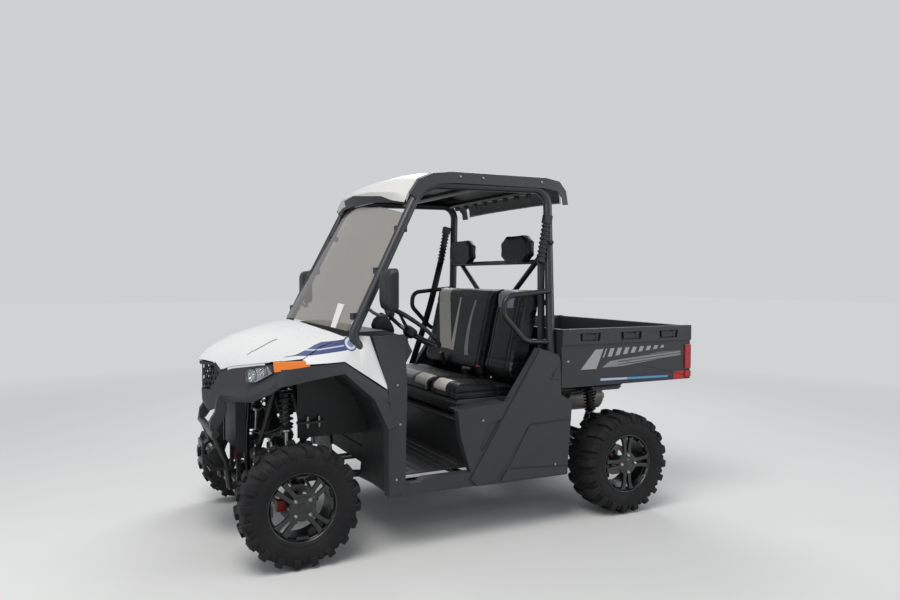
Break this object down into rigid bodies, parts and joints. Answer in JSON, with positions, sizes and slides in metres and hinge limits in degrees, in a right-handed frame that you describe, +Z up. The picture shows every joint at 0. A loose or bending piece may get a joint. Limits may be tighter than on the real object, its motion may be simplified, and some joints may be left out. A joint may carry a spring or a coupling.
{
  "type": "side by side utility vehicle",
  "caption": "Open-cab off-road utility vehicle with a bench seat, roll cage with roof and windscreen, steered front wheels and a tipping cargo bed with a drop tailgate.",
  "frame": {"origin": "on the ground under the middle of the vehicle's length, on its centre plane", "axes": "+X to the rear, +Y to the vehicle's right, +Z up"},
  "size_m": [2.86, 1.644, 1.986],
  "materials": {
    "tyre": "matt tread",
    "rim_black": "satin black alloy",
    "bare_steel": "machined",
    "cast_parts": "cast",
    "frame_black": "powder coat",
    "cage_grey": "smooth satin",
    "white_body": "gloss white",
    "dark_plastic": "grained",
    "black_plastic": "grained",
    "lamp": "clear lens",
    "amber": "amber lens",
    "red_lens": "red lens",
    "screen": "tinted",
    "seat_vinyl": "grained vinyl",
    "roof_grey": "satin",
    "engine_grey": "cast"
  },
  "bodies": {
    "chassis": {"rear_knuckles": "cast_parts", "front_arms": "frame_black", "rear_arms": "frame_black", "shocks": "frame_black", "chassis_frame": "frame_black", "engine": "engine_grey", "muffler": "bare_steel", "gear_cases": "engine_grey", "drive_shafts": "bare_steel", "rack_housing": "engine_grey", "steering_column": "frame_black", "cage_hoops": "cage_grey", "cage_braces": "frame_black", "hood": "white_body", "fenders": "white_body", "front_side_panels": "dark_plastic", "wheel_liners": "black_plastic", "fascia": "dark_plastic", "grille": "black_plastic", "headlamps": "lamp", "indicators": "amber", "bumper": "frame_black", "winch": "frame_black", "floor_tray": "black_plastic", "sills": "dark_plastic", "dash": "dark_plastic", "windscreen": "screen", "screen_clamps": "black_plastic", "roof": "roof_grey", "seat_base": "dark_plastic", "seat_cushions": "seat_vinyl", "seat_backs": "seat_vinyl", "headrests": "seat_vinyl", "radiator": "engine_grey", "roof_rails": "roof_grey", "hip_bars": "frame_black", "mirrors": "black_plastic", "side_panels": "dark_plastic", "hitch_receiver": "frame_black"},
    "steer_knuckle_left": {"knuckle_left": "cast_parts"},
    "steer_knuckle_right": {"knuckle_right": "cast_parts"},
    "steering_wheel": {"steering_wheel": "black_plastic"},
    "tie_rods": {"tie_rods": "bare_steel"},
    "wheel_front_left": {"tyre_front_left": "tyre", "rim_front_left": "rim_black", "hub_front_left": "bare_steel"},
    "wheel_front_right": {"tyre_front_right": "tyre", "rim_front_right": "rim_black", "hub_front_right": "bare_steel"},
    "wheel_rear_left": {"tyre_rear_left": "tyre", "rim_rear_left": "rim_black", "hub_rear_left": "bare_steel"},
    "wheel_rear_right": {"tyre_rear_right": "tyre", "rim_rear_right": "rim_black", "hub_rear_right": "bare_steel"},
    "bed": {"bed_tub": "dark_plastic", "tail_lamps": "red_lens"},
    "tailgate": {"tailgate": "dark_plastic"}
  },
  "joints": [
    {"name": "steer_left", "type": "hinge", "parent": "chassis", "child": "steer_knuckle_left", "pos_m": [-1.045, -0.52, 0.3], "axis": [0, 0, 1], "range_deg": [-30, 30]},
    {"name": "steer_right", "type": "hinge", "parent": "chassis", "child": "steer_knuckle_right", "pos_m": [-1.045, 0.52, 0.3], "axis": [0, 0, 1], "range_deg": [-30, 30]},
    {"name": "steering_wheel_turn", "type": "hinge", "parent": "chassis", "child": "steering_wheel", "pos_m": [-0.31, -0.33, 1.12], "axis": [0.6157, 0, 0.788], "range_deg": [-300, 300]},
    {"name": "tie_rod_slide", "type": "slide", "parent": "chassis", "child": "tie_rods", "axis": [0, 1, 0], "range_m": [-0.0502, 0.0502]},
    {"name": "wheel_front_left_spin", "type": "hinge", "parent": "steer_knuckle_left", "child": "wheel_front_left", "pos_m": [-1.045, -0.615, 0.3], "axis": [0, 1, 0], "continuous": true},
    {"name": "wheel_front_right_spin", "type": "hinge", "parent": "steer_knuckle_right", "child": "wheel_front_right", "pos_m": [-1.045, 0.615, 0.3], "axis": [0, 1, 0], "continuous": true},
    {"name": "wheel_rear_left_spin", "type": "hinge", "parent": "chassis", "child": "wheel_rear_left", "pos_m": [0.915, -0.615, 0.3], "axis": [0, 1, 0], "continuous": true},
    {"name": "wheel_rear_right_spin", "type": "hinge", "parent": "chassis", "child": "wheel_rear_right", "pos_m": [0.915, 0.615, 0.3], "axis": [0, 1, 0], "continuous": true},
    {"name": "bed_tilt", "type": "hinge", "parent": "chassis", "child": "bed", "pos_m": [1.185, 0, 0.716], "axis": [0, 1, 0], "range_deg": [0, 40]},
    {"name": "tailgate_hinge", "type": "hinge", "parent": "bed", "child": "tailgate", "pos_m": [1.413, 0, 0.795], "axis": [0, 1, 0], "range_deg": [0, 90]}
  ],
  "couplings": [
    {"joint": "steer_right", "follows": "steer_left", "ratio": 1},
    {"joint": "steering_wheel_turn", "follows": "steer_left", "ratio": 10},
    {"joint": "tie_rod_slide", "follows": "steer_left", "m_per_rad": 0.0955}
  ]
}
